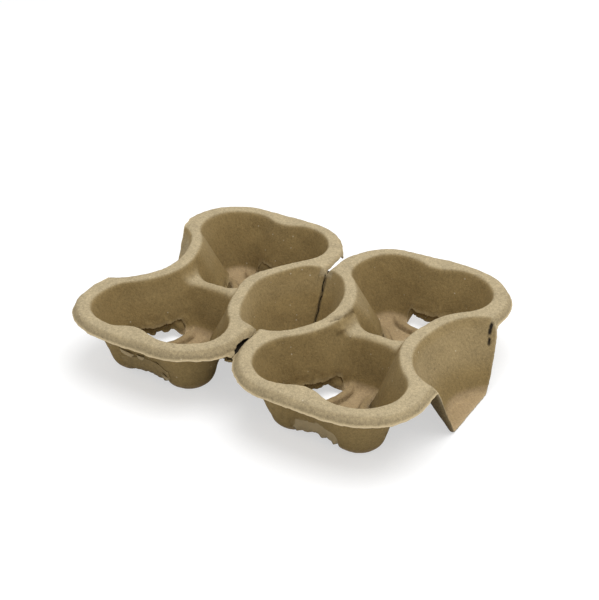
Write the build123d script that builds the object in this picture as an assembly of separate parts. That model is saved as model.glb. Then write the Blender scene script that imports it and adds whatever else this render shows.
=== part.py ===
from build123d import *
import math
import os

# A moulded pulp carrier for four cups: two alike halves of two cells each, held
# together along a slit tear line by a few nibs of pulp.

# Whole carrier
half_width = 115.0  # tear line to outer side
length = 180.0  # along the tear line
height = 41.5  # feet to the crest of the rim
wall = 1.6  # pulp sheet
roll_flats = 2  # flats that make up each rolled edge on the upper face

# Rim
corner_radius = 38.0
rim_round = 5.0  # outer roll of the rim
skirt_drop = 6.0  # crest to the free edge of the rim

# Cells, three lobes each, measured at the mouth
cell_pitch = 88.6  # centre to centre across the dividing ridge
lobe_angle = 30.0  # outer lobes, away from square across
lobe_reach = 23.0  # cell centre to the middle of an outer lobe
lobe_radius = 25.0
pinch_radius = 20.0  # inward bulge of the end walls
waist = 42.4  # across the dividing ridge
cell_inset = 13.0  # mouth to floor, by the walls' lean
mouth_round = 2.6  # roll from the crest into a cell
floor_round = 6.0

# Pockets on the tear line and at the two outer sides, measured at the mouth
pocket_width = 57.5
pocket_length = 81.0
pocket_end_radius = 22.0
pocket_inset = 19.0
pocket_round = 2.2  # roll from the crest into a pocket
pocket_floor_round = 3.0

# Dividing ridge between the two cells of a half
ridge_height = 31.0
ridge_round = 3.0

# Slots that free the foot of each wall tongue
slot_rise = 9.5
slot_reach = 16.5  # cell centre to the floor's edge
slot_depth = 17.0  # floor's edge to the back of the slot
slot_radius = 33.0  # curve of the floor's edge
side_slot_width = 34.0
end_slot_width = 28.0
slot_round = 5.0

# Raised beads on the floor beside the slots
bead_width = 9.0
bead_length = 28.0
bead_rise = 3.0  # above the floor
bead_reach = 11.5  # cell centre to the bead
bead_angle = 35.0  # lean of its sides

# Tear line
tear_gap = 1.0
nib_width = 5.0  # along the tear line
nib_length = 5.0  # across the tear line
wall_nib_height = 18.0

half_side = (half_width - tear_gap) / 2
edge_height = height - skirt_drop
cell_lean = math.atan2(cell_inset, height - wall)
pocket_lean = math.atan2(pocket_inset, height - wall)
lobe_turn = math.radians(lobe_angle)
rim_nib_place = length / 2 - corner_radius + nib_width
sides = (1, -1)


# Closed plan through arcs, each given by its start, a middle point and its end
def arc_plan(arcs):
    return make_face(Wire.combine([ThreePointArc(*arc) for arc in arcs])[0])


# Plan of the two joined cells of a half, grown outwards from the mouth
def cell_plan(grow):
    out = Vector(math.cos(lobe_turn), math.sin(lobe_turn))
    lobe = Vector(0, cell_pitch / 2) + out * lobe_reach
    pinch = Vector(0, lobe.Y + math.sqrt((pinch_radius + lobe_radius) ** 2 - lobe.X**2))
    side = waist / 2 - lobe.X
    bulge_radius = (side**2 + lobe.Y**2 - lobe_radius**2) / (2 * (lobe_radius - side))
    bulge = Vector(waist / 2 + bulge_radius, 0)
    end = lobe + (pinch - lobe).normalized() * (lobe_radius + grow)
    flank = lobe + (bulge - lobe).normalized() * (lobe_radius + grow)
    far = lobe + out * (lobe_radius + grow)
    tip = pinch.Y - pinch_radius + grow
    arcs = []
    for s in sides:
        arcs.append([(-s * end.X, s * end.Y), (0, s * tip), (s * end.X, s * end.Y)])
        arcs.append([(s * flank.X, s * flank.Y), (s * (waist / 2 + grow), 0), (s * flank.X, -s * flank.Y)])
        for t in sides:
            arcs.append([(t * p.X, s * p.Y) for p in (end, far, flank)])
    return arc_plan(arcs)


# Plan of a pocket, an oval of four arcs, grown outwards from the mouth
def pocket_plan(grow):
    half = pocket_width / 2
    end = Vector(0, pocket_length / 2 - pocket_end_radius)
    side_radius = (half**2 + end.Y**2 - pocket_end_radius**2) / (2 * (half - pocket_end_radius))
    meet = end + Vector(side_radius - half, end.Y).normalized() * (pocket_end_radius + grow)
    arcs = []
    for s in sides:
        arcs.append([(-s * meet.X, s * meet.Y), (0, s * (pocket_length / 2 + grow)), (s * meet.X, s * meet.Y)])
        arcs.append([(s * meet.X, s * meet.Y), (s * (half + grow), 0), (s * meet.X, -s * meet.Y)])
    return arc_plan(arcs)


# A hollow with a bevelled floor and a rolled mouth, or its outside at the sheet's thickness
def hollow(plan, lean, low_round, top_round, thickness):
    low_drop = height - wall - low_round
    low_inset = low_drop * math.tan(lean) + low_round / math.cos(lean)
    top_inset = top_round * (math.tan(lean) - 1 / math.cos(lean))
    low_reach = low_round + thickness
    top_reach = top_round - thickness
    flats = 1 if thickness > 0 else roll_flats
    turns = [lean + (math.pi / 2 - lean) * k / flats for k in range(flats + 1)]
    outline = [(-low_inset, low_drop + low_reach)]
    outline.append((low_reach * math.cos(lean) - low_inset, low_drop + low_reach * math.sin(lean)))
    for turn in turns:
        outline.append((-top_inset - top_reach * math.cos(turn), top_round - top_reach * math.sin(turn)))
    return loft([Pos(0, 0, height - drop) * plan(grow).face() for grow, drop in outline], ruled=True)


def cells(thickness):
    return hollow(cell_plan, cell_lean, floor_round, mouth_round, thickness)


def pockets(thickness):
    pocket = hollow(pocket_plan, pocket_lean, pocket_floor_round, pocket_round, thickness)
    return [Pos(s * half_width / 2, 0, 0) * pocket for s in sides]


# Rim as a block with a rolled outer edge, set in from the outside of the sheet
def rim_block(low, inset):
    reach = rim_round - inset
    turns = [math.pi / 2 * k / roll_flats for k in range(roll_flats + 1)]
    rises = [low] + [height - rim_round + reach * math.sin(turn) for turn in turns]
    insets = [inset] + [rim_round - reach * math.cos(turn) for turn in turns]
    sections = []
    for rise, side in zip(rises, insets):
        plan = RectangleRounded(2 * (half_side - side), length - 2 * side, corner_radius - side)
        sections.append(Pos(0, 0, rise) * plan.face())
    return loft(sections, ruled=True)


# Rim, walls and floors of one half as one sheet
def half_sheet():
    low_cuts = Pos(0, 0, edge_height / 2) * Box(2 * half_side, length, edge_height)
    under = rim_block(0, wall) - cells(wall) - pockets(wall)
    sheet = rim_block(edge_height, 0) + cells(wall)
    for pocket in pockets(wall):
        sheet += pocket & low_cuts
    return sheet - cells(0) - pockets(0) - under


# Cross-section of the dividing ridge, its faces set in from the upper side of the sheet
def ridge_section(inset):
    middle = ridge_height - ridge_round
    foot_z = wall + floor_round
    foot_y = (ridge_round + floor_round + math.sin(cell_lean) * (middle - foot_z)) / math.cos(cell_lean)
    reach = ridge_round - inset
    sweep = floor_round + inset
    corners = [(foot_y, -inset), (foot_y, wall - inset)]
    corners.append((foot_y - sweep * math.cos(cell_lean), foot_z - sweep * math.sin(cell_lean)))
    for k in range(roll_flats):
        turn = cell_lean + (math.pi / 2 - cell_lean) * k / roll_flats
        corners.append((reach * math.cos(turn), middle + reach * math.sin(turn)))
    far_side = [(-y, z) for y, z in reversed(corners)]
    return make_face(Polyline(*corners, (0, middle + reach), *far_side, close=True))


def add_ridge(sheet):
    ridge = extrude(Plane.YZ * ridge_section(0), amount=waist / 2, both=True)
    under = extrude(Plane.YZ * ridge_section(wall), amount=waist / 2 + ridge_round, both=True)
    return sheet + (ridge & cells(wall)) - under


# Slot behind the curved edge of a cell floor
def slot(width):
    floor_edge = Pos(slot_reach + slot_radius, 0) * Circle(slot_radius)
    plan = floor_edge & Pos(slot_reach + slot_depth / 2, 0) * Rectangle(slot_depth, width)
    block = extrude(Pos(0, 0, -wall) * plan, amount=slot_rise + wall)
    return chamfer(block.edges().filter_by(Axis.X).group_by(Axis.Z)[-1], slot_round)


# Raised bead on a cell floor, and its hollow under the sheet
def bead(inset):
    plan = Pos(bead_reach, 0) * Rectangle(bead_width - 2 * inset, bead_length - 2 * inset)
    return extrude(plan, amount=wall + bead_rise - inset, taper=bead_angle)


def make_half():
    half = add_ridge(half_sheet())
    for s in sides:
        for turn, width in ((0, end_slot_width), (120, side_slot_width), (-120, side_slot_width)):
            place = Pos(0, s * cell_pitch / 2, 0) * Rot(0, 0, 90 * s + turn)
            half += place * bead(0)
            half -= place * bead(wall)
            half -= place * slot(width)
    return half


# Nibs of pulp that still bridge the tear line
def nibs():
    wall_drop = (height - wall_nib_height) * math.tan(pocket_lean)
    wall_place = pocket_length / 2 - wall_drop + wall / 2
    pieces = [Pos(0, 0, wall / 2) * Box(nib_length, nib_width, wall)]
    for s in sides:
        pieces.append(Pos(0, s * rim_nib_place, edge_height + wall / 2) * Box(nib_length, nib_width, wall))
        turned = Rot(math.degrees(-s * pocket_lean), 0, 0)
        pieces.append(Pos(0, s * wall_place, wall_nib_height) * turned * Box(nib_length, wall, nib_width))
    return pieces


half = Pos(half_width / 2, 0, 0) * make_half()
carrier = half + mirror(half, about=Plane.YZ) + nibs()
os.makedirs("parts", exist_ok=True)
export_step(carrier, "parts/cup_carrier.step")
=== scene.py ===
import math

import bpy
import numpy as np
from mathutils import Matrix, Vector


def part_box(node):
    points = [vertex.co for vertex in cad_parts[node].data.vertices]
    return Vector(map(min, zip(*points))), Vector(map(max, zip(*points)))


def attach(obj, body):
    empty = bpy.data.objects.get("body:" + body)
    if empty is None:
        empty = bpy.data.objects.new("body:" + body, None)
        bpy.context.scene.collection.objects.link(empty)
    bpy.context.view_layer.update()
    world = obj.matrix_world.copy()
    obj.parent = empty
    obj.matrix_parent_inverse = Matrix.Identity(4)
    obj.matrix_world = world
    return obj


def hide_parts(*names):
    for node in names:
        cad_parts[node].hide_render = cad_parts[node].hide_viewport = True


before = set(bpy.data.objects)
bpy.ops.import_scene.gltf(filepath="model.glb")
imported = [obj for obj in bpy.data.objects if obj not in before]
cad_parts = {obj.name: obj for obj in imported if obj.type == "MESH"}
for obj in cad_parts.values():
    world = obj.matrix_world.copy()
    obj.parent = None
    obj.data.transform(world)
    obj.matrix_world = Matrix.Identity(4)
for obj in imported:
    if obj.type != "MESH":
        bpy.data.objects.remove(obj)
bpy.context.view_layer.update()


# The pulp sheet
# The carrier is one sheet of recycled paper pulp, sucked onto a wire mould while wet and dried hard. Two
# alike halves stand side by side along a slit tear line. Each has two three-lobed cup cells that share a
# waisted mouth, a lowered ridge between them, and half of an oval pocket at either side.

# Lengths are in millimetres, x and y from the middle of a half, x growing away from the tear line
high_corner = [1000 * np.array(corner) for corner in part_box("cup_carrier")][1]
half_pitch = 57.5
half_width = high_corner[0] - half_pitch
half_length = high_corner[1]
height = high_corner[2]
sheet = 1.6
corner_radius = 38.0
rim_round, rim_turn = 5.0, math.radians(84)
rim_lip, lip_out, lip_down = 1.4, 0.8, 0.6
cell_middle = 44.3
lobe_reach, lobe_angle, lobe_radius = 23.0, math.radians(30), 25.0
pinch_radius, half_waist = 20.0, 21.2
cell_lean, cell_roll, cell_foot = math.atan2(13.0, height - sheet), 3.0, 7.0
pocket_half_width, pocket_half_length, pocket_end_radius = 28.75, 40.5, 22.0
pocket_lean, pocket_roll, pocket_foot = math.atan2(19.0, height - sheet), 2.4, 2.5
ridge_height, ridge_round = 31.0, 4.4
ridge_spread, ridge_climb, ridge_ends = 6.0, 2.0, (6, 24)
ridge_blend, crest_blend = 12, 0.8
# How far the waves of a random relief spread about its wavelength
wave_spread = (0.6, 1.6)


def smooth_min(a, b, blend):
    """The lower of two heights, with the corner between them rounded over a depth of blend."""
    near = np.maximum(blend - np.abs(a - b), 0) / blend
    return np.minimum(a, b) - near ** 2 * blend / 4


def smooth_max(a, b, blend):
    """The higher of two heights, with the corner between them filled over a depth of blend."""
    return -smooth_min(-a, -b, blend)


def swell(x, low, high):
    """Rises from 0 at low to 1 at high, level at both ends."""
    t = np.clip((x - low) / (high - low), 0, 1)
    return t * t * (3 - 2 * t)


def ripple(points, wavelength, seed, waves=24):
    """Even random relief of about unit size: a sum of sine waves of about one wavelength that run
    in random directions and start at random phases."""
    rng = np.random.default_rng(seed)
    ways = rng.normal(size=(waves, points.shape[-1]))
    ways /= np.linalg.norm(ways, axis=1, keepdims=True)
    ways *= (2 * np.pi / wavelength * rng.uniform(*wave_spread, waves))[:, None]
    phases = rng.uniform(0, 2 * np.pi, waves)
    total = sum(np.sin(points @ way + phase) for way, phase in zip(ways, phases))
    return total * math.sqrt(2 / waves)


def wall_height(outside, lean, top_round, foot_round):
    """Height of the sheet over its distance outside a mouth line: level crest, a round roll over the
    edge, a straight wall that leans, a round foot and the level floor."""
    tangent = 1 / math.cos(lean) - math.tan(lean)
    crest_x = top_round * tangent
    foot_x = -(height - sheet) * math.tan(lean) - foot_round * tangent
    roll = height - top_round + np.sqrt(np.maximum(top_round ** 2 - (outside - crest_x) ** 2, 0))
    foot = sheet + foot_round - np.sqrt(np.maximum(foot_round ** 2 - (outside - foot_x) ** 2, 0))
    z = height + outside / math.tan(lean)
    z = np.where(outside > crest_x - top_round * math.cos(lean), roll, z)
    z = np.where(outside > crest_x, height, z)
    z = np.where(outside < foot_x + foot_round * math.cos(lean), foot, z)
    return np.where(outside < foot_x, sheet, z)


def cell_outside(x, y):
    """Distance outside the shared mouth of the two cells: round lobes, end walls that bulge inwards
    and waists that bulge inwards, each an arc that meets the next without a corner."""
    p = np.stack([np.abs(x), np.abs(y)], axis=-1)
    out = np.array([math.cos(lobe_angle), math.sin(lobe_angle)])
    lobe = np.array([0, cell_middle]) + out * lobe_reach
    pinch = np.array([0, lobe[1] + math.sqrt((pinch_radius + lobe_radius) ** 2 - lobe[0] ** 2)])
    side = half_waist - lobe[0]
    waist_radius = (side ** 2 + lobe[1] ** 2 - lobe_radius ** 2) / (2 * (lobe_radius - side))
    waist = np.array([half_waist + waist_radius, 0])
    to_pinch, to_waist, from_lobe = pinch - lobe, waist - lobe, p - lobe
    by_pinch = to_pinch[0] * from_lobe[..., 1] - to_pinch[1] * from_lobe[..., 0] > 0
    by_waist = to_waist[0] * from_lobe[..., 1] - to_waist[1] * from_lobe[..., 0] < 0
    pinch_gap = np.where(by_pinch, pinch_radius - np.linalg.norm(p - pinch, axis=-1), -np.inf)
    waist_gap = np.where(by_waist, waist_radius - np.linalg.norm(p - waist, axis=-1), -np.inf)
    lobe_gap = np.where(by_pinch | by_waist, -np.inf, np.linalg.norm(from_lobe, axis=-1) - lobe_radius)
    return np.maximum(np.maximum(pinch_gap, waist_gap), lobe_gap)


def pocket_outside(x, y):
    """Distance outside the mouth of the nearer pocket, an oval of two end arcs and two side arcs."""
    p = np.stack([half_pitch - np.abs(x), np.abs(y)], axis=-1)
    p[..., 0] = np.abs(p[..., 0])
    end = np.array([0, pocket_half_length - pocket_end_radius])
    side_radius = pocket_half_width ** 2 + end[1] ** 2 - pocket_end_radius ** 2
    side_radius /= 2 * (pocket_half_width - pocket_end_radius)
    side = np.array([pocket_half_width - side_radius, 0])
    to_end = end - side
    by_end = to_end[0] * (p - end)[..., 1] - to_end[1] * (p - end)[..., 0] > 0
    end_gap = np.linalg.norm(p - end, axis=-1) - pocket_end_radius
    return np.where(by_end, end_gap, np.linalg.norm(p - side, axis=-1) - side_radius)


def ridge_rise(x, y):
    """Height of the dividing ridge over its distance from the middle: a round top on leaning flanks,
    wider and a little higher at both ends, where it runs into the waists."""
    spread = swell(np.abs(x), *ridge_ends)
    away = np.maximum(np.abs(y) - ridge_spread * spread, 0)
    middle = ridge_height - ridge_round + ridge_climb * spread
    top = middle + np.sqrt(np.maximum(ridge_round ** 2 - away ** 2, 0))
    flank = middle + (ridge_round / math.cos(cell_lean) - away) / math.tan(cell_lean)
    return np.where(away < ridge_round * math.cos(cell_lean), top, flank)


def unrolled_rim(a, b):
    """Turns sheet coordinates into plan: the outer band, measured along the sheet, rolls over most of a
    quarter circle and flares out as a lip. Gives x, y, the rim's height and the length along the roll."""
    core = np.array([half_width, half_length]) - corner_radius
    q = np.stack([np.abs(a), np.abs(b)], axis=-1) - core
    reach = np.linalg.norm(np.maximum(q, 0), axis=-1)
    gap = reach + np.minimum(q.max(axis=-1), 0) - corner_radius
    outward = np.maximum(q, 0) / np.maximum(reach, 1e-9)[..., None] * np.sign(np.stack([a, b], axis=-1))
    along = gap + rim_round
    turn = np.clip(along / rim_round, 0, rim_turn)
    lip = np.maximum(along - rim_round * rim_turn, 0)
    shift = rim_round * np.sin(turn) + lip_out * lip - np.maximum(along, 0)
    rim = height - rim_round * (1 - np.cos(turn)) - lip_down * lip
    return a + shift * outward[..., 0], b + shift * outward[..., 1], rim, along


# Slots and beads
# Three slots at the foot of every cell free the walls above them, so that they spring against a cup.
# They are torn through the damp pulp and leave frayed edges. A raised bead stiffens the floor by each.

slot_reach, slot_depth, slot_bow = 16.5, 17.0, 33.0
slot_turns = (0, 120, -120)
slot_half_widths = (14.0, 17.0, 17.0)
slot_rises, slot_top_slope = (12.0, 11.5, 11.5), 0.6
slot_end_round, slot_top_round, slot_back_round = 3, 4, 2
bead_half_length, bead_half_width, bead_rise = 23.0, 3.0, 3.2
bead_top, bead_fade, bead_squareness = 12, 8, 6
crease_width, crease_depth, crease_whole_share = 0.8, 0.45, 0.75


def slot_places(x, y):
    """Distances along and across the three ways out of the nearer cell's middle, one pair a slot."""
    along_y, across_x = np.abs(y) - cell_middle, x * np.where(y < 0, -1, 1)
    for turn in slot_turns:
        c, s = math.cos(math.radians(turn)), math.sin(math.radians(turn))
        yield along_y * c - across_x * s, along_y * s + across_x * c


def bead_height(x, y):
    """Rounded bars along the floor's bowed edges, highest along their middle line."""
    rise = np.zeros_like(x)
    for along, across in slot_places(x, y):
        inside = np.hypot(along - slot_reach - slot_bow, across) - slot_bow
        bar = 1 - ((inside - bead_half_width) / bead_half_width) ** 2
        bar = bar - (across / bead_half_length) ** bead_squareness
        rise = np.maximum(rise, bead_rise * np.sqrt(np.maximum(bar, 0)))
    return rise


def bead_crease(x, y):
    """1 along the inner foot of the beads, fading to 0 at both sides and towards their ends."""
    crease = np.zeros_like(x)
    for along, across in slot_places(x, y):
        inside = np.hypot(along - slot_reach - slot_bow, across) - slot_bow - 2 * bead_half_width
        line = np.exp(-(inside / crease_width) ** 2)
        ends = swell(np.abs(across) / bead_half_length, crease_whole_share, 1)
        crease = np.maximum(crease, line * (1 - ends))
    return crease


def slot_margin(x, y, z):
    """How far a point of the sheet is outside the slots: each is bounded by the floor's bowed edge, two
    sides and a top, with rounded corners."""
    margin = np.full_like(x, np.inf)
    for half, rise, (along, across) in zip(slot_half_widths, slot_rises, slot_places(x, y)):
        floor_edge = np.hypot(along - slot_reach - slot_bow, across) - slot_bow
        ends = np.abs(across) - half
        top = (z - rise) * slot_top_slope
        back = along - slot_reach - slot_depth
        edge = smooth_max(floor_edge, ends, slot_end_round)
        edge = smooth_max(smooth_max(edge, top, slot_top_round), back, slot_back_round)
        margin = np.minimum(margin, edge)
    return margin


# Wear
# Cups have pushed some wall tongues in. The right half's outer flap is bent out and pierced, its holes made
# as dents painted full of shade, the left half's is torn off short, and the crest by the right half's ridge
# is creased. At the tear line the lips are worn short at the back, and at the front they meet but for an open
# slit.

# By half, 1 right and -1 left, and end, 1 back and -1 front: lean added to the tongues over the three slots
tongue_push = {(1, -1): (0, 0.06, 0), (-1, -1): (0, 0, 0.06), (1, 1): (0, 0.22, 0), (-1, 1): (0, 0, 0.21)}
tongue_sides, tongue_foot, tongue_rim, bow_limit = (10, 20), 3, (-1, 2), 20
# How far the right flap is bent out at its foot and at its rim, from and to which x; what is left of the
# left flap's lip, at which y its tear ends, and over what length it fades
bend_foot, bend_rim, bend_from_to = 4.8, 2.0, (34, 57)
torn_lip, torn_end, torn_fade = 0.2, 66, 26
flap_end, flap_end_fade = 41, 6
# Holes in the right flap, each a dent painted full of shade: start, end and radius
flap_holes = (((111.9, 38.2, 37.6), (112.1, 35.6, 32.6), 1.0),
              ((112.9, 34.6, 30.2), (113.4, 33.4, 27.4), 0.8))
hole_depth, hole_fade = 0.6, 0.3
# Lumps and creases of the crest: start, end, width and depth, which is below 0 for a lump
crest_marks = (((32.6, -6.0, 41.0), (34.6, 6.0, 40.4), 2.2, -1.6),
               ((36.4, -11.6, 35.2), (38.4, -6.6, 34.4), 1.3, -1.3),
               ((32.7, -10.9, 40.6), (35.3, -6.0, 40.2), 0.9, 1.4),
               ((35.3, -6.0, 40.2), (36.4, 0.0, 38.4), 0.9, 1.7),
               ((36.4, 0.0, 38.4), (36.9, 10.0, 37.0), 0.9, 1.6),
               ((36.6, -12.6, 32.6), (38.8, -6.0, 31.6), 1.1, 1.2))
# Rims by the tear line, with pairs for where a change starts and ends: at the front the dip of either half's
# rim, the growth of the lips and the slit's half width, which the left half widens; at the back the loss of
# lip, and the nib that is left on the left half
tear_side = (40, 52)
seam_start, seam_dip, seam_dip_along = (40, 45), {1: 1.6, -1: 1.0}, (0.5, 5.5)
seam_growth, growth_start, growth_end = 2.4, (50, 54), (64.5, 67)
slit_half_width, slit_start, slit_end = 0.6, (40, 44), (60, 62)
slit_gain, slit_gain_along, slit_fray = {1: 0, -1: 0.75}, (42, 56), 0.08
back_start, back_loss, back_more, back_more_along = (38, 43), 2.7, 0.9, (42, 52)
back_nib, back_nib_y, back_nib_width = 2.6, 64, 2.2
# The crack down the pocket: how the halves overlap, fray and wander, over what wavelength, and how far
# the pocket's mouth stands above the rim where the crack ends
crack_overlap, crack_fray, crack_wander, crack_wave, crack_end = 0.3, 0.25, 0.45, 6, 0.3
# Frayed edges: wavelengths of the fine and coarse fray, and their sizes at a cut edge and at the lip
fray_wave, waver_wave = 2.2, 8
edge_fray, slot_waver, lip_fray, lip_waver = 0.1, 0.25, 0.05, 0.12
# Waviness of the dried sheet along x, y and z, its wavelength, and where it starts above the floor and away
# from the tear line
sway, sway_wave, sway_above, sway_beyond = (0.35, 0.35, 0.4), 55, (2, 14), (1, 12)


def segment_gap(points, start, end):
    """Distance of points from the straight line between two places."""
    start, way = np.array(start), np.subtract(end, start)
    share = np.clip((points - start) @ way / (way @ way), 0, 1)
    return np.linalg.norm(points - start - share[..., None] * way, axis=-1)


def tongue_shift(x, y, z, side):
    """How far the pushed tongues move in plan: the added lean times the depth below the rim, fading to
    nothing at a tongue's sides and on the floor."""
    shift = np.zeros(x.shape + (2,))
    way = np.where(y < 0, -1, 1)
    in_cell = swell(-cell_outside(x, y), *tongue_rim)
    for slot, (along, across) in enumerate(slot_places(x, y)):
        turn = math.radians(slot_turns[slot])
        lean = np.where(y < 0, tongue_push[side, -1][slot], tongue_push[side, 1][slot])
        floor_edge = slot_reach + slot_bow - np.sqrt(slot_bow ** 2 - np.minimum(across ** 2, bow_limit ** 2))
        tongue = in_cell * (1 - swell(np.abs(across), *tongue_sides))
        tongue = tongue * swell(along - floor_edge, 0, tongue_foot)
        move = lean * (height - z) * tongue
        shift[..., 0] += move * way * math.sin(turn)
        shift[..., 1] -= move * way * math.cos(turn)
    return shift


def front_seam(x, y):
    """1 on the rolled rims that meet at the front of the tear line, fading to 0 around them."""
    return swell(-x, *tear_side) * swell(-y, *seam_start)


# The two halves
# Both halves come off one mould as one sheet. Each is shaped here as a face over a square grid, then given
# the sheet's thickness downwards, which thins out to a frayed edge.

# Rubbed wear and painted top light as one share, with pairs for where it starts and is whole: by the slope
# and height of the face, on the rolled rim by the way along the roll and the height, which drops at the
# front, and on the outer flaps
rub_and_light_slope, rub_and_light_height = (0.25, 1.0), (22, 33)
roll_rub_and_light, roll_rub_and_light_along, roll_rub_and_light_height, seam_rub_and_light_drop = 0.75, (0, 2), (35, 37), 3
flap_rub_and_light, flap_rub_and_light_inside, flap_rub_and_light_height = {1: 0.3, -1: 0.6}, (0, 4), (10, 24)
# Painted shade as a share, a near black laid where shade falls: in the bead creases, low on the walls, along
# the crack, in the creases of the crest, and underneath by the right flap's front end
crease_shade, crease_shade_fade = 0.3, (4, 7)
low_wall_shade, low_wall_shade_fade, low_wall_shade_foot = 0.14, (10, 28), (3, 6)
crack_shade, crack_shade_beside, crack_shade_end, crack_shade_fade = 0.6, (0.7, 1.6), 40, 3
mark_shade = 0.45
under_shade, under_shade_x, under_shade_y, under_shade_fade = 0.6, (92, 100), -31, (12, 18)
# Relief of the pulp: sizes, wavelengths and seeds, less on the floor, and crumpling near the slots
pulp_relief = ((0.10, 16, 41), (0.045, 4.5, 51))
floor_relief, floor_relief_fade = 0.2, (2, 8)
crumple, crumple_wave, crumple_reach = 0.22, 6, 7
# Edges: width over which the sheet thins, its thickness there as a share, and the pale torn fibre as a share
# low down, where it grows with height, and how near the tear line it ends
edge_width, edge_share = 1.2, 0.45
torn_low, torn_height, torn_beyond = 0.3, (25, 32), (2, 4)
# The grid: its step, how far it goes past the sheet, and what limits the slide of its points onto an edge
mesh_step, grid_spare, least_steep, slide_reach = 0.68, 5, 0.04, 0.62
sharp_angle = math.radians(55)


def sheet_surface(a, b, side):
    """Upper face of one half over sheet coordinates a, b. The height is the lowest of the rim, the cells
    and the pockets, with the ridge and beads raised inside the cells. Gives points in the carrier's
    frame, the margin, which is above 0 where there is pulp, and the distance from the slots."""
    x, y, rim, along = unrolled_rim(a, b)
    seam = front_seam(x, y)
    rim -= seam_dip[side] * seam * swell(along, *seam_dip_along)
    cell = wall_height(cell_outside(x, y), cell_lean, cell_roll, cell_foot)
    bead = bead_height(x, y) * swell(bead_top - cell, 0, bead_fade)
    cell = smooth_max(cell, ridge_rise(x, y), ridge_blend) + bead
    pocket = wall_height(pocket_outside(x, y), pocket_lean, pocket_roll, pocket_foot)
    z = smooth_min(smooth_min(cell, pocket, crest_blend), rim, crest_blend)
    spot = np.stack([side * x, y, z], axis=-1)
    fray = ripple(spot, fray_wave, 11 + side)
    waver = ripple(spot, waver_wave, 21 + side)
    slots = slot_margin(x, y, z)
    in_flap = swell(flap_end - np.abs(y), 0, flap_end_fade)
    wander = side * crack_wander * ripple(np.stack([y, z], axis=-1), crack_wave, 31)
    crack = crack_fray * np.abs(fray) - crack_overlap + wander
    beside = half_width - np.abs(x) - np.where(x < 0, crack, edge_fray * fray)
    if side < 0:
        beside = np.where(x < 0, beside, half_width)
    at_back = swell(-x, *tear_side) * swell(y, *back_start)
    whole_lip = rim_round * rim_turn + rim_lip
    lip_end = whole_lip + lip_fray * fray + lip_waver * waver
    lip_end = lip_end - (back_loss + back_more * swell(y, *back_more_along)) * at_back
    lip_end += seam_growth * seam * swell(-y, *growth_start) * (1 - swell(-y, *growth_end))
    if side < 0:
        lip_end += back_nib * np.exp(-((y - back_nib_y) / back_nib_width) ** 2) * at_back
        lip_end -= np.where(x > 0, (whole_lip - torn_lip) * swell(torn_end - np.abs(y), 0, torn_fade), 0)
    margin = np.minimum(slots + edge_fray * fray + slot_waver * waver, lip_end - along)
    margin = np.minimum(margin, np.maximum(beside, pocket - rim - crack_end))
    slit = slit_half_width + slit_gain[side] * swell(-y, *slit_gain_along)
    slit = slit * swell(-y, *slit_start) * (1 - swell(-y, *slit_end)) + slit_fray * fray
    margin = np.minimum(margin, np.where(seam > 0.5, half_pitch - np.abs(x) - slit, np.inf))
    if side > 0:
        x = x + swell(x, *bend_from_to) * in_flap * (bend_foot - (bend_foot - bend_rim) * z / height)
    shift = tongue_shift(x, y, z, side)
    points = np.stack([side * (x + shift[..., 0] + half_pitch), y + shift[..., 1], z], axis=-1)
    loose = swell(z, *sway_above) * swell(np.abs(points[..., 0]), *sway_beyond)
    for axis, size in enumerate(sway):
        points[..., axis] += size * ripple(spot, sway_wave, 61 + 3 * axis + side) * loose
    return points, margin, slots


def grid_normals(points):
    """Unit normals of a grid of points, from the cross product of its two directions."""
    normal = np.cross(np.gradient(points, axis=0), np.gradient(points, axis=1))
    return normal / np.maximum(np.linalg.norm(normal, axis=-1, keepdims=True), 1e-9)


def closed_sheet(points, normals, thickness, kept, number=0):
    """Vertices and faces of a sheet with thickness over a grid of points. Grid squares with all corners
    kept are faces, those with three are triangles; the lower face lies under the upper one along the
    normals, and a strip closes the edge. Faces count from number. Also gives the kept points' numbers."""
    index = np.arange(kept.size).reshape(kept.shape)
    corners = np.stack([index[:-1, :-1], index[1:, :-1], index[1:, 1:], index[:-1, 1:]], axis=-1)
    corners = corners.reshape(-1, 4)
    held = kept.ravel()[corners]
    quads = corners[held.all(axis=1)]
    odd = held.sum(axis=1) == 3
    lost = np.argmin(held[odd], axis=1)[:, None]
    threes = np.take_along_axis(corners[odd], (lost + np.arange(1, 4)) % 4, axis=1)
    used, packed = np.unique(np.concatenate([quads.ravel(), threes.ravel()]), return_inverse=True)
    quads, threes = packed[:quads.size].reshape(-1, 4), packed[quads.size:].reshape(-1, 3)
    upper = points.reshape(-1, 3)[used]
    lower = upper - (normals * thickness[..., None]).reshape(-1, 3)[used]
    count = len(used)
    ways = [quads[:, [i, (i + 1) % 4]] for i in range(4)] + [threes[:, [i, (i + 1) % 3]] for i in range(3)]
    ways = np.concatenate(ways)
    key = np.sort(ways, axis=1) @ np.array([count, 1])
    _, first, times = np.unique(key, return_index=True, return_counts=True)
    border = ways[first[times == 1]]
    strip = np.stack([border[:, 1], border[:, 0], border[:, 0] + count, border[:, 1] + count], axis=1)
    groups = [quads, threes, quads[:, ::-1] + count, threes[:, ::-1] + count, strip]
    faces = [face for group in groups for face in (group + number).tolist()]
    return np.concatenate([upper, lower]), faces, used


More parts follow.
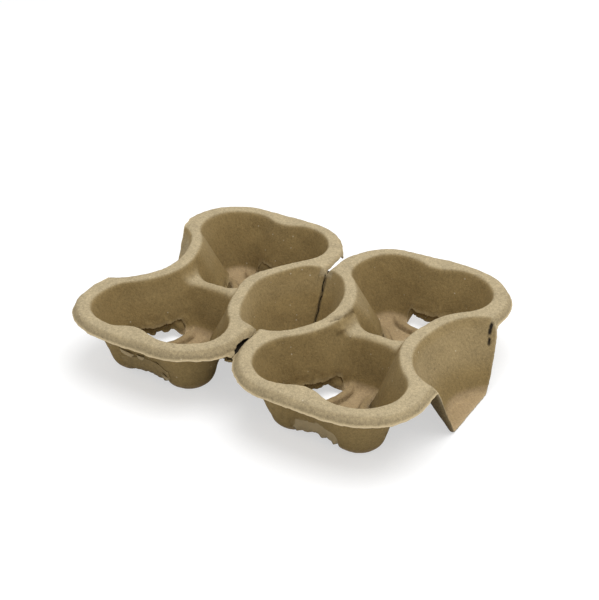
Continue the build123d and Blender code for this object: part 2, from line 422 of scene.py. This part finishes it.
def add_piece(name, vertices, faces, torn, rubbed_and_lit, painted_shade):
    """A pulp piece from points in millimetres, none below the table, with its torn fibre, its rubbed wear and
    painted top light, and its painted shade, riding on the carrier."""
    vertices[:, 2] = np.maximum(vertices[:, 2], 0)
    mesh = bpy.data.meshes.new(name)
    mesh.from_pydata((vertices / 1000).tolist(), [], faces)
    mesh.shade_smooth()
    mesh.set_sharp_from_angle(angle=sharp_angle)
    for key, values in (("torn", torn), ("rubbed_and_lit", rubbed_and_lit), ("painted_shade", painted_shade)):
        mesh.attributes.new(key, "FLOAT", "POINT").data.foreach_set("value", values.astype(np.float32))
    piece = bpy.data.objects.new(name, mesh)
    bpy.context.scene.collection.objects.link(piece)
    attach(piece, "root")
    return piece


def make_half(name, side):
    """One half of the carrier. A square grid covers it, and grid points near an edge slide onto it. Relief
    along the normals is strongest by the slots, where the pulp is crumpled."""
    reach_a = np.arange(-half_width - grid_spare, half_width + grid_spare, mesh_step)
    reach_b = np.arange(-half_length - grid_spare, half_length + grid_spare, mesh_step)
    a, b = np.meshgrid(reach_a, reach_b, indexing="ij")
    margin = sheet_surface(a, b, side)[1]
    slope_a, slope_b = np.gradient(margin, mesh_step)
    steep = np.maximum(slope_a ** 2 + slope_b ** 2, least_steep)
    near = np.abs(margin) < slide_reach * mesh_step * np.sqrt(steep)
    slide = np.where(near, -margin / steep, 0)
    points, after, slots = sheet_surface(a + slide * slope_a, b + slide * slope_b, side)
    normals = side * grid_normals(points)
    z = points[..., 2]
    rolled = unrolled_rim(a, b)[3]
    # Crest colour where faces turn up high on the sheet, on the rolled rim and on the flaps: painted top
    # light, with rubbed wear
    rubbed_and_lit = swell(normals[..., 2], *rub_and_light_slope) * swell(z, *rub_and_light_height)
    on_roll = swell(rolled, *roll_rub_and_light_along) * swell(z + seam_rub_and_light_drop * front_seam(a, b), *roll_rub_and_light_height)
    rubbed_and_lit = np.maximum(rubbed_and_lit, roll_rub_and_light * on_roll)
    on_flap = swell(-pocket_outside(a, b), *flap_rub_and_light_inside) * (a > 0) * swell(z, *flap_rub_and_light_height)
    rubbed_and_lit = np.maximum(rubbed_and_lit, flap_rub_and_light[side] * on_flap)
    crumpled = 1 - swell(slots, 0, crumple_reach)
    relief = sum(size * ripple(points, wave, seed + side) for size, wave, seed in pulp_relief)
    relief += crumple * crumpled * ripple(points, crumple_wave, 55 + side)
    relief *= floor_relief + (1 - floor_relief) * swell(z, *floor_relief_fade)
    # The bead crease is dented and also painted with shade
    crease = bead_crease(a, b) * (1 - swell(z, *crease_shade_fade))
    relief -= crease_depth * crease
    # Painted shade low on the walls, rising above the foot and fading out higher up
    low_wall = (1 - swell(z, *low_wall_shade_fade)) * swell(z, *low_wall_shade_foot)
    painted_shade = np.maximum(crease_shade * crease, low_wall_shade * low_wall)
    # Painted shade along the crack down the pocket
    at_crack = 1 - swell(np.abs(points[..., 0]), *crack_shade_beside)
    at_crack = at_crack * swell(crack_shade_end - np.abs(b), 0, crack_shade_fade)
    painted_shade = np.maximum(painted_shade, crack_shade * at_crack)
    # Creases cut into the crest also get painted shade along them
    for start, end, width, depth in crest_marks:
        mark = np.exp(-(segment_gap(points, start, end) / width) ** 2)
        relief -= depth * mark
        painted_shade = np.maximum(painted_shade, mark_shade * mark ** 2 * (depth > 0))
    # Each hole is a dent painted fully with shade
    for start, end, radius in flap_holes:
        hole = 1 - swell(segment_gap(points, start, end), radius - hole_fade, radius + hole_fade)
        relief -= hole_depth * hole
        painted_shade = np.maximum(painted_shade, hole)
    points = points + normals * relief[..., None]
    edge = np.clip(np.maximum(after, 0) / edge_width, 0, 1)
    thickness = sheet * (edge_share + (1 - edge_share) * edge)
    torn = (1 - edge) * (torn_low + (1 - torn_low) * swell(z, *torn_height))
    torn = torn * swell(np.abs(points[..., 0]), *torn_beyond)
    kept = near | (margin > 0)
    grids = [points, normals, thickness, kept, torn, rubbed_and_lit, painted_shade]
    if side < 0:
        grids = [grid[::-1] for grid in grids]
    points, normals, thickness, kept, torn, rubbed_and_lit, painted_shade = grids
    vertices, faces, used = closed_sheet(points, normals, thickness, kept)
    torn, rubbed_and_lit, painted_shade = [np.tile(grid.ravel()[used], 2) for grid in (torn, rubbed_and_lit, painted_shade)]
    x, y = vertices[len(used):, 0], vertices[len(used):, 1]
    rubbed_and_lit[len(used):] = 0
    # Painted shade on the lower face underneath by the right flap's front end
    by_flap = swell(x, *under_shade_x) * (1 - swell(np.abs(y - under_shade_y), *under_shade_fade))
    painted_shade[len(used):] = under_shade * by_flap
    piece = add_piece(name, vertices, faces, torn, rubbed_and_lit, painted_shade)
    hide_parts("cup_carrier")
    return piece


right_half = make_half("right_half", 1)
left_half = make_half("left_half", -1)


# Torn flaps
# The tongue tears free rather than being cut clean, so a rag of thinner pulp hangs behind the lower edge
# of every wall. Over some slots it hangs free, and over others it still reaches down to the floor's edge.

flap_columns, flap_rows, wall_steps = 72, 12, 12
flap_top, flap_back, flap_sheet, flap_overlap = 14.5, 1.1, 0.8, 3.5
flap_lows, flap_hang, flap_curl, flap_curl_wave = (7.6, 5.8, 5.8), 0.9, 0.3, 6
flap_thin_share, flap_thick_from = 0.5, 0.4
flap_corner, flap_corner_run, flap_side_run = 8, 2, (-2.5, 0.5)
# Share of a slot's half width from which an open flap leans in to the floor's edge
arch_shares = (0.8, 0.45, 0.45)
rag_sizes, rag_waves = (0.8, 0.18), (11, 2.5)
shut_low, shut_gap, shut_rag = 0.9, -0.2, 0.2
panel_bend, panel_low, panel_rag = 10.0, 4.4, 0.6
# Share of pale torn fibre on the front panels by half; the right one's is raised to paint in light, as it
# hangs in shade under the rim
panel_torn_and_lit = {1: 0.7, -1: 0.15}
# Painted shade on the flaps, which hang in shade behind the walls: more low down on a shut one, and at a
# panel's lower edge
flap_shade, shut_shade, panel_shade = 0.25, 0.35, 0.35
# By half, 1 right and -1 left, and end, 1 back and -1 front: whether the end slot and side slots are shut
slot_shut = {(1, -1): (1, 1, 0), (-1, -1): (1, 0, 1), (1, 1): (0, 1, 1), (-1, 1): (1, 1, 1)}


def wall_along(wide, z, turn, end):
    """Distance from the cell's middle, along a slot's way, at which the inside of the wall stands at a
    height: steps towards the wall's inset there, which is straight above and round at the foot."""
    tangent = 1 / math.cos(cell_lean) - math.tan(cell_lean)
    foot_x = -(height - sheet) * math.tan(cell_lean) - cell_foot * tangent
    foot = foot_x + np.sqrt(cell_foot ** 2 - np.clip(sheet + cell_foot - z, 0, cell_foot) ** 2)
    straight = (z - height) * math.tan(cell_lean)
    outside = np.where(z < sheet + cell_foot * (1 - math.sin(cell_lean)), foot, straight)
    c, s = math.cos(turn), math.sin(turn)
    along = np.full_like(wide, lobe_radius - 1)
    for _ in range(wall_steps):
        x, y = (wide * c - along * s) * end, (along * c + wide * s + cell_middle) * end
        along += outside - cell_outside(x, y)
    return along


def flap_grid(side, end, slot, panel, seed):
    """A flap is a strip over across and drop that starts inside the wall and has a ragged lower end. A shut
    one leans in to the floor's bowed edge, an open one only towards its two ends, so that it leaves an
    arched hole, and a panel hangs straight down outside a shut one. The sides follow the wall again."""
    share, drop = np.linspace(-1, 1, flap_columns), np.linspace(0, 1, flap_rows)
    share, drop = np.meshgrid(share, drop, indexing="ij")
    turn, shut, half = math.radians(slot_turns[slot]), slot_shut[side, end][slot], slot_half_widths[slot]
    wide = share * (half + flap_overlap)
    closed = np.maximum(shut, swell(np.abs(wide) / half, arch_shares[slot], 1))
    line = np.stack([wide, 0 * wide], axis=-1)
    rag = sum(size * ripple(line, wave, seed + k) for k, (size, wave) in enumerate(zip(rag_sizes, rag_waves)))
    low = closed * (shut_low + shut_rag * np.abs(rag)) + (1 - closed) * (flap_lows[slot] + rag)
    if panel:
        low = panel_low + panel_rag * rag
    low += (flap_corner - low) * swell(np.abs(wide), half, half + flap_corner_run)
    z = flap_top + (low - flap_top) * drop
    top, wall = wall_along(wide, 0 * z + flap_top, turn, end), wall_along(wide, z, turn, end)
    floor_edge = slot_reach + slot_bow - np.sqrt(slot_bow ** 2 - wide ** 2)
    along = top + drop * (closed * (floor_edge + shut_gap - top) - (1 - closed) * flap_hang)
    if panel:
        along = wall_along(wide, np.maximum(z, panel_bend), turn, end)
    at_side = swell(np.abs(wide) - half, *flap_side_run)
    along += (wall - along) * at_side + flap_back * (1 - drop * shut * (not panel))
    push = tongue_push[side, end][slot] * (1 - swell(np.abs(wide), *tongue_sides))
    along -= (1 - drop * closed) * push * (height - z)
    along += flap_curl * drop * ripple(np.stack([wide, z], axis=-1), flap_curl_wave, seed + 2)
    c, s = math.cos(turn), math.sin(turn)
    x, y = (wide * c - along * s) * end, (along * c + wide * s + cell_middle) * end
    points = np.stack([side * (x + half_pitch), y, z], axis=-1)
    # Painted shade on the flap
    painted_shade = panel_shade * drop ** 8 if panel else flap_shade + shut_shade * drop * shut
    thickness = flap_thin_share + (1 - flap_thin_share) * swell(drop, 0, flap_thick_from)
    thickness = flap_sheet * thickness * (1 - (1 - flap_thin_share) * drop)
    return points, thickness, (panel_torn_and_lit[side] if panel else 0) + 0 * drop, painted_shade


# Flakes of pulp that have torn away from the outside of the front walls: start, end, outward and fall
flakes = (((-73.6, -75.0, 21.2), (-67.0, -71.0, 16.6), (0.35, -0.94, 0.0), 3.4),
          ((-65.0, -70.4, 16.8), (-60.4, -69.2, 15.8), (0.1, -1.0, 0.0), 2.6),
          ((-47.0, -70.4, 10.2), (-40.5, -71.8, 9.4), (-0.3, -0.95, 0.0), 2.4))
flake_columns, flake_rows = 32, 8
flake_end_share, flake_rag, flake_rag_wave = 0.35, 0.2, 3.0
flake_stand, flake_curl, flake_tuck, flake_fall = 0.5, 0.5, 0.3, 0.95
flake_sheet, flake_thinning, flake_torn, flake_torn_gain = 0.6, 0.3, 0.6, 0.2


def flake_grid(start, end, outward, fall, seed):
    """A flake hangs from the line between two places on a wall, stands off it and curls out below."""
    share, drop = np.linspace(0, 1, flake_columns), np.linspace(0, 1, flake_rows)
    share, drop = np.meshgrid(share, drop, indexing="ij")
    bow = 1 - (2 * share - 1) ** 4
    line = np.stack([share * np.linalg.norm(np.subtract(end, start)), 0 * share], axis=-1)
    length = fall * (flake_end_share + (1 - flake_end_share) * bow)
    length += flake_rag * ripple(line, flake_rag_wave, seed)
    points = np.array(start) + share[..., None] * np.subtract(end, start)
    points = points + ((flake_stand + flake_curl * drop) * bow)[..., None] * np.array(outward)
    way = np.array([-flake_tuck * outward[0], -flake_tuck * outward[1], -flake_fall])
    points = points + (drop * length)[..., None] * way
    thickness, torn = flake_sheet - flake_thinning * drop, flake_torn + flake_torn_gain * drop
    return points, thickness, torn, 0 * drop


def add_sheets(name, grids):
    """One piece of several thin sheets, each given by its points, thickness, torn fibre and painted shade,
    which may differ on its upper and lower face."""
    all_vertices, all_faces, all_torn, all_shade, count = [], [], [], [], 0
    for points, thickness, torn, painted_shade in grids:
        whole = np.ones(thickness.shape, bool)
        vertices, faces, _ = closed_sheet(points, grid_normals(points), thickness, whole, count)
        all_vertices.append(vertices)
        all_faces += faces
        all_torn.append(np.tile(torn.ravel(), 2))
        all_shade.append(np.broadcast_to(painted_shade, (2,) + thickness.shape).ravel())
        count += len(vertices)
    torn, painted_shade = np.concatenate(all_torn), np.concatenate(all_shade)
    return add_piece(name, np.concatenate(all_vertices), all_faces, torn, 0 * torn, painted_shade)


def make_flaps():
    """The flaps of all twelve slots, the two front panels and the flakes, as one piece."""
    places = [(side, end, slot, False) for side in (1, -1) for end in (1, -1) for slot in range(3)]
    places += [(side, -1, 0, True) for side in (1, -1)]
    grids = [flap_grid(*place, 100 + 3 * k) for k, place in enumerate(places)]
    return add_sheets("torn_flaps", grids + [flake_grid(*flake, 200 + k) for k, flake in enumerate(flakes)])


torn_flaps = make_flaps()


# Tear line
# The halves part along a slit. Under the ragged crack a thin web of crushed pulp still joins them, painted
# near black on top as the shade down in the crack, and a torn nib, painted darker as shade, hangs under the
# lips where they meet at the front.

web_rows, web_columns, web_back, web_front = 260, 9, 44.0, -65.0
web_half_width, web_top, web_sheet, web_drop = 2.8, 37.6, 0.7, 0.75
web_relief, web_wave = 0.1, 3
# At the front the web lies lower, falls with the rims' corners and tucks in under the left rim
web_sink, web_fall, web_tuck, web_sink_along = 2.2, 1.4, 4.0, (40, 46)
# Painted shade on the web's upper and lower faces, near black on top as the shade down in the crack
web_shade = (1.0, 0.2)
nib_front, nib_overlap, nib_tuck = -66.2, 2, 1.0
nib_height, nib_sag, nib_sheet = 33.0, 1.0, 0.9
nib_points, nib_rag, nib_rag_reach, nib_rag_wave = 24, 0.5, 5, 2.5
# The nib's relief, its wavelength and its painted shade, which is darkest at its back end under the lips
nib_relief, nib_wave, nib_shade = 0.15, 3, 0.3


def rim_inset(y):
    """How far the rim's rounded corner has drawn back from the tear line."""
    past = np.maximum(np.abs(y) - half_length + corner_radius, 0)
    return corner_radius - np.sqrt(corner_radius ** 2 - past ** 2)


def web_grid():
    """The web follows the pocket's section along the tear line and the valley between the rims, a little
    under their upper faces."""
    y, across = np.linspace(web_back, web_front, web_rows), np.linspace(-1, 1, web_columns)
    y, across = np.meshgrid(y, across, indexing="ij")
    sunk = swell(-y, *web_sink_along)
    x = across * (web_half_width + rim_inset(y) + web_tuck * (across < 0) * sunk)
    wall = wall_height(pocket_outside(half_pitch - np.abs(x), y), pocket_lean, pocket_roll, pocket_foot)
    top = web_top - web_sink * sunk - web_fall * rim_inset(y) * (y < 0)
    points = np.stack([x, y, np.minimum(wall, top)], axis=-1)
    points -= grid_normals(points) * (web_drop + web_relief * ripple(points, web_wave, 71))[..., None]
    # Near-black painted shade on the upper face, a little on the lower
    painted_shade = np.stack([np.full(x.shape, share) for share in web_shade])
    return points, np.full(x.shape, web_sheet), 0 * x, painted_shade


def nib_grid():
    """The nib is a ragged patch that sags between the two rims, under their lips."""
    share, across = np.linspace(0, 1, nib_points), np.linspace(-1, 1, nib_points)
    share, across = np.meshgrid(share, across, indexing="ij")
    y = web_front + nib_overlap + share * (nib_front - web_front - nib_overlap)
    line = np.stack([across * nib_rag_reach, 0 * across], axis=-1)
    y += share * nib_rag * ripple(line, nib_rag_wave, 81)
    x = across * (rim_inset(y) + nib_tuck)
    z = nib_height - nib_sag * (1 - across ** 2)
    z = z + nib_relief * ripple(np.stack([x, y], axis=-1), nib_wave, 82)
    # The nib is painted with shade, more towards its back end
    return np.stack([x, y, z], axis=-1), np.full(x.shape, nib_sheet), 0 * x, nib_shade * (2 - share)


def make_tear_line():
    """The web and the nib as one piece."""
    return add_sheets("tear_line", [web_grid(), nib_grid()])


tear_line = make_tear_line()


# Pulp finish
# Recycled paper fibre dries to a dull tan felt: paler where the crest is rubbed and lit, which is painted top
# light with the wear, darker down in the cells with painted shade, with a fine grain of fibres, a few pale
# and dark specks, and pale frayed fibre at the cut edges.

# The crest colour, laid on where the sheet is rubbed and lit, is paler: painted top light along with rubbed
# wear
wall_colour, crest_colour = (0.262, 0.184, 0.074, 1), (0.385, 0.312, 0.19, 1)
floor_colour, floor_top, floor_end = (0.375, 0.275, 0.163, 1), 0.0035, 0.007
speck_colour, fleck_colour = (0.62, 0.54, 0.40, 1), (0.09, 0.065, 0.04, 1)
# A near black for painted shade, laid on where shade falls
torn_colour, painted_shade_colour = (0.60, 0.485, 0.30, 1), (0.016, 0.011, 0.006, 1)
# Scale and detail of the three noises, and their shares in the mottle and in the bump
grain_noise, felt_noise, blotch_noise, noise_roughness = (1500, 3), (600, 4), (70, 3), 0.6
mottle_grain, mottle_felt, mottle_blotch = 1.0, 0.95, 0.45
mottle_size, mottle_rubbed_and_lit_gain = 0.75, 0.25
bump_grain, bump_felt, bump_blotch = 0.5, 0.8, 0.6
bump_strength, bump_depth = 0.55, 0.0006
# Shares of the floor's colour, of the specks and flecks, with their edges and chances, and of torn fibre
floor_share, floor_blotch = 0.4, 0.5
speck_scale = 210.0
speck_share, speck_edge, speck_chance = 0.6, (0.05, 0.13), (0.72, 0.74)
fleck_share, fleck_edge, fleck_chance = 0.5, (0.05, 0.12), (0.14, 0.16)
torn_share = 0.8
pulp_roughness, pulp_shine = 0.92, 0.25


class Value:
    """A socket of a material's node tree; sums and products of values add Math nodes."""

    def __init__(self, tree, socket):
        self.tree, self.socket = tree, socket

    def node(self, kind, settings=None, output=0, **sockets):
        """A new node, its settings set first, then its sockets' values or links; i0 is socket number 0."""
        node = self.tree.nodes.new(kind)
        for key, setting in (settings or {}).items():
            setattr(node, key, setting)
        for key, given in sockets.items():
            place = int(key[1:]) if key[0] == "i" and key[1:].isdigit() else key.replace("_", " ")
            if isinstance(given, Value):
                self.tree.links.new(given.socket, node.inputs[place])
            else:
                node.inputs[place].default_value = given
        return Value(self.tree, node.outputs[output])

    def math(self, operation, first, second):
        """A Math node on two values or numbers."""
        return self.node("ShaderNodeMath", {"operation": operation}, i0=first, i1=second)

    def __add__(self, other):
        return self.math("ADD", self, other)

    def __mul__(self, other):
        return self.math("MULTIPLY", self, other)

    def __sub__(self, other):
        return self.math("SUBTRACT", self, other)

    def __rsub__(self, other):
        return self.math("SUBTRACT", other, self)

    __radd__, __rmul__ = __add__, __mul__

    def step(self, low, high):
        """0 below low, 1 above high, smooth between."""
        settings = {"interpolation_type": "SMOOTHSTEP"}
        return self.node("ShaderNodeMapRange", settings, Value=self, From_Min=low, From_Max=high)

    def noise(self, scale, detail):
        """Noise over this position, about 0.5 in the middle."""
        kind, rough = "ShaderNodeTexNoise", noise_roughness
        return self.node(kind, Vector=self, Scale=scale, Detail=detail, Roughness=rough)

    def mix(self, first, second):
        """The first colour where this value is 0, the second where it is 1."""
        return self.node("ShaderNodeMix", {"data_type": "RGBA"}, output=2, i0=self, i6=first, i7=second)


def pulp_material():
    """Wall colour mixed towards the crest's where it is rubbed and lit, which paints top light along with the
    wear, and the floor's low down, times a mottle of three noises, then specks, flecks, torn fibre and
    painted shade over it.
    The same noises give a fine bump."""
    material = bpy.data.materials.new("moulded_pulp")
    material.use_nodes = True
    tree = material.node_tree
    shader = tree.nodes["Principled BSDF"]
    start = Value(tree, None)
    place = start.node("ShaderNodeTexCoord", output=3)
    torn = start.node("ShaderNodeAttribute", {"attribute_name": "torn"}, output=2)
    rubbed_and_lit = start.node("ShaderNodeAttribute", {"attribute_name": "rubbed_and_lit"}, output=2)
    painted_shade = start.node("ShaderNodeAttribute", {"attribute_name": "painted_shade"}, output=2)
    level = start.node("ShaderNodeSeparateXYZ", output=2, Vector=place)
    grain = place.noise(*grain_noise)
    felt = place.noise(*felt_noise)
    blotch = place.noise(*blotch_noise)
    # Crest colour where rubbed and lit: painted top light with rubbed wear
    pulp = rubbed_and_lit.mix(wall_colour, crest_colour)
    floor = (1 - level.step(floor_top, floor_end)) * (floor_share + floor_blotch * blotch)
    pulp = (floor * (1 - painted_shade)).mix(pulp, floor_colour)
    mottle = (felt - 0.5) * mottle_felt + (grain - 0.5) * mottle_grain + (blotch - 0.5) * mottle_blotch
    mottle = 1 + mottle * (mottle_size + mottle_rubbed_and_lit_gain * rubbed_and_lit)
    pulp = start.node("ShaderNodeVectorMath", {"operation": "SCALE"}, Vector=pulp, Scale=mottle)
    specks = start.node("ShaderNodeTexVoronoi", Vector=place, Scale=speck_scale)
    chance = start.node("ShaderNodeTexVoronoi", output=1, Vector=place, Scale=speck_scale)
    draw = start.node("ShaderNodeSeparateColor", Color=chance)
    speck = (1 - specks.step(*speck_edge)) * draw.step(*speck_chance)
    pulp = (speck_share * speck).mix(pulp, speck_colour)
    fleck = (1 - specks.step(*fleck_edge)) * (1 - draw.step(*fleck_chance))
    pulp = (fleck_share * fleck).mix(pulp, fleck_colour)
    pulp = (torn * torn_share).mix(pulp, torn_colour)
    # Painted shade over the colour
    pulp = painted_shade.mix(pulp, painted_shade_colour)
    tree.links.new(pulp.socket, shader.inputs["Base Color"])
    relief = grain * bump_grain + felt * bump_felt + blotch * bump_blotch
    bump = start.node("ShaderNodeBump", Strength=bump_strength, Distance=bump_depth, Height=relief)
    tree.links.new(bump.socket, shader.inputs["Normal"])
    shader.inputs["Roughness"].default_value = pulp_roughness
    shader.inputs["Specular IOR Level"].default_value = pulp_shine
    return material


pulp = pulp_material()
for piece in (right_half, left_half, torn_flaps, tear_line):
    piece.data.materials.append(pulp)


# The studio
# A white table under one wide soft lamp, above and a little to the right, with even light all round. What
# the camera sees of the table and of the space behind it is made paler, and the table keeps its shadows.

table_width, table_colour, table_glow, glow_share = 20, (0.8, 0.8, 0.8, 1), 1.4, 0.4
white = (1, 1, 1, 1)
room_light, room_seen = 0.55, 0.31
softbox_width, softbox_power, softbox_place = 1.0, 12.5, (0.2, 0.05, 1.15)


def seen_directly(tree):
    """1 for what the camera sees, straight or by way of a shine or glass, 0 for what only gives light."""
    start = Value(tree, None)
    kinds = ("Is Camera Ray", "Is Glossy Ray", "Is Transmission Ray")
    camera, glossy, through = [start.node("ShaderNodeLightPath", output=kind) for kind in kinds]
    return start.math("MAXIMUM", camera, start.math("MAXIMUM", glossy, through))


def make_stage():
    """The table, a wide plane at the carrier's feet, the light of the room and the softbox."""
    bpy.ops.mesh.primitive_plane_add(size=table_width)
    table = bpy.context.object
    table.name = "table"
    material = bpy.data.materials.new("white_table")
    material.use_nodes = True
    tree = material.node_tree
    start = Value(tree, None)
    tree.nodes["Principled BSDF"].inputs["Base Color"].default_value = table_colour
    tree.nodes["Principled BSDF"].inputs["Roughness"].default_value = 1.0
    glow = start.node("ShaderNodeEmission", Color=white, Strength=table_glow)
    lit = Value(tree, tree.nodes["Principled BSDF"].outputs[0])
    both = start.node("ShaderNodeMixShader", i0=seen_directly(tree) * glow_share, i1=lit, i2=glow)
    tree.links.new(both.socket, tree.nodes["Material Output"].inputs["Surface"])
    table.data.materials.append(material)
    world = bpy.data.worlds.new("studio")
    bpy.context.scene.world = world
    world.use_nodes = True
    background = world.node_tree.nodes["Background"]
    background.inputs["Color"].default_value = white
    strength = room_light + seen_directly(world.node_tree) * room_seen
    world.node_tree.links.new(strength.socket, background.inputs["Strength"])
    lamp = bpy.data.lights.new("softbox", "AREA")
    lamp.size = softbox_width
    lamp.energy = softbox_power
    softbox = bpy.data.objects.new("softbox", lamp)
    softbox.location = softbox_place
    softbox.rotation_euler = (Vector((0, 0, 0)) - softbox.location).to_track_quat("-Z", "Y").to_euler()
    bpy.context.scene.collection.objects.link(softbox)


# The camera
# It stands in front and to the right, 31 degrees above the table, with a long lens, and as far off as
# shows the whole carrier with a narrow margin.

camera_place, camera_lens, sensor_height = (0.3281, -0.5166, 0.4054), 71.42, 36.0
camera_azimuth, camera_elevation, camera_roll = math.radians(32.07), math.radians(30.94), math.radians(-0.24)


def make_camera():
    """Looks back along the direction that its azimuth from the front and its elevation give."""
    lens = bpy.data.cameras.new("camera")
    lens.sensor_fit = "VERTICAL"
    lens.sensor_height = sensor_height
    lens.lens = camera_lens
    camera = bpy.data.objects.new("camera", lens)
    level, rise = math.cos(camera_elevation), math.sin(camera_elevation)
    back = Vector((math.sin(camera_azimuth) * level, -math.cos(camera_azimuth) * level, rise))
    turn = back.to_track_quat("Z", "Y").to_matrix().to_4x4() @ Matrix.Rotation(camera_roll, 4, "Z")
    camera.matrix_world = Matrix.Translation(camera_place) @ turn
    bpy.context.scene.collection.objects.link(camera)
    bpy.context.scene.camera = camera


make_stage()
make_camera()
bpy.context.scene.view_settings.view_transform = "Standard"
